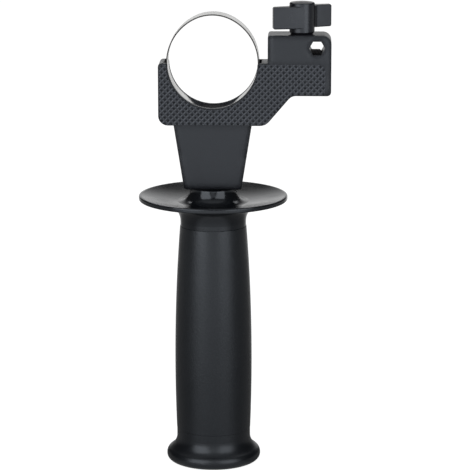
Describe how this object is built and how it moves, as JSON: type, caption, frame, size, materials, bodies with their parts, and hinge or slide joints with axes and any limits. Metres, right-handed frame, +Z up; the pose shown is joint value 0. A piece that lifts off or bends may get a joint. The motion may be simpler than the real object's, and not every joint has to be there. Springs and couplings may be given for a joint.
{
  "type": "power tool side handle",
  "caption": "Side handle for a power tool: a steel strap collar in a knurled saddle with a depth-rod clamp, tightened by turning the guarded grip.",
  "frame": {"origin": "centre of the tool's collar, midway between the two faces of the saddle", "axes": "+Y along the collar, away from the face that has the rod clamp on its right; +X towards the rod clamp; +Z up, away from the grip"},
  "size_m": [0.0928, 0.0722, 0.2276],
  "materials": {
    "saddle_plastic": "fine spark-eroded texture, black",
    "strap_steel": "bright stainless",
    "bolt_steel": "zinc plated",
    "grip_plastic": "satin black",
    "sleeve_rubber": "satin black",
    "nut_steel": "zinc plated",
    "knob_plastic": "satin black",
    "insert_brass": "turned",
    "hook_steel": "zinc plated"
  },
  "bodies": {
    "clamp": {"clamp_body": "saddle_plastic"},
    "grip": {"grip_core": "grip_plastic", "grip_sleeve": "sleeve_rubber", "grip_nut": "nut_steel"},
    "strap": {"clamp_strap": "strap_steel", "tension_bolt": "bolt_steel"},
    "knob": {"thumb_knob": "knob_plastic", "knob_insert": "insert_brass"},
    "hook": {"clamp_hook": "hook_steel"}
  },
  "joints": [
    {"name": "grip_turn", "type": "hinge", "parent": "clamp", "child": "grip", "pos_m": [0, 0, -0.0613], "axis": [0, 0, -1], "range_deg": [-374, 864]},
    {"name": "strap_slide", "type": "slide", "parent": "clamp", "child": "strap", "axis": [0, 0, 1], "range_m": [-0.0013, 0.003]},
    {"name": "knob_turn", "type": "hinge", "parent": "clamp", "child": "knob", "pos_m": [0.0426, 0, 0.0138], "axis": [0, 0, 1], "range_deg": [-360, 1080]},
    {"name": "hook_slide", "type": "slide", "parent": "clamp", "child": "hook", "axis": [0, 0, -1], "range_m": [-0.001, 0.003]}
  ],
  "couplings": [
    {"joint": "strap_slide", "follows": "grip_turn", "m_per_rad": 0.00019894},
    {"joint": "hook_slide", "follows": "knob_turn", "m_per_rad": 0.00015915}
  ]
}
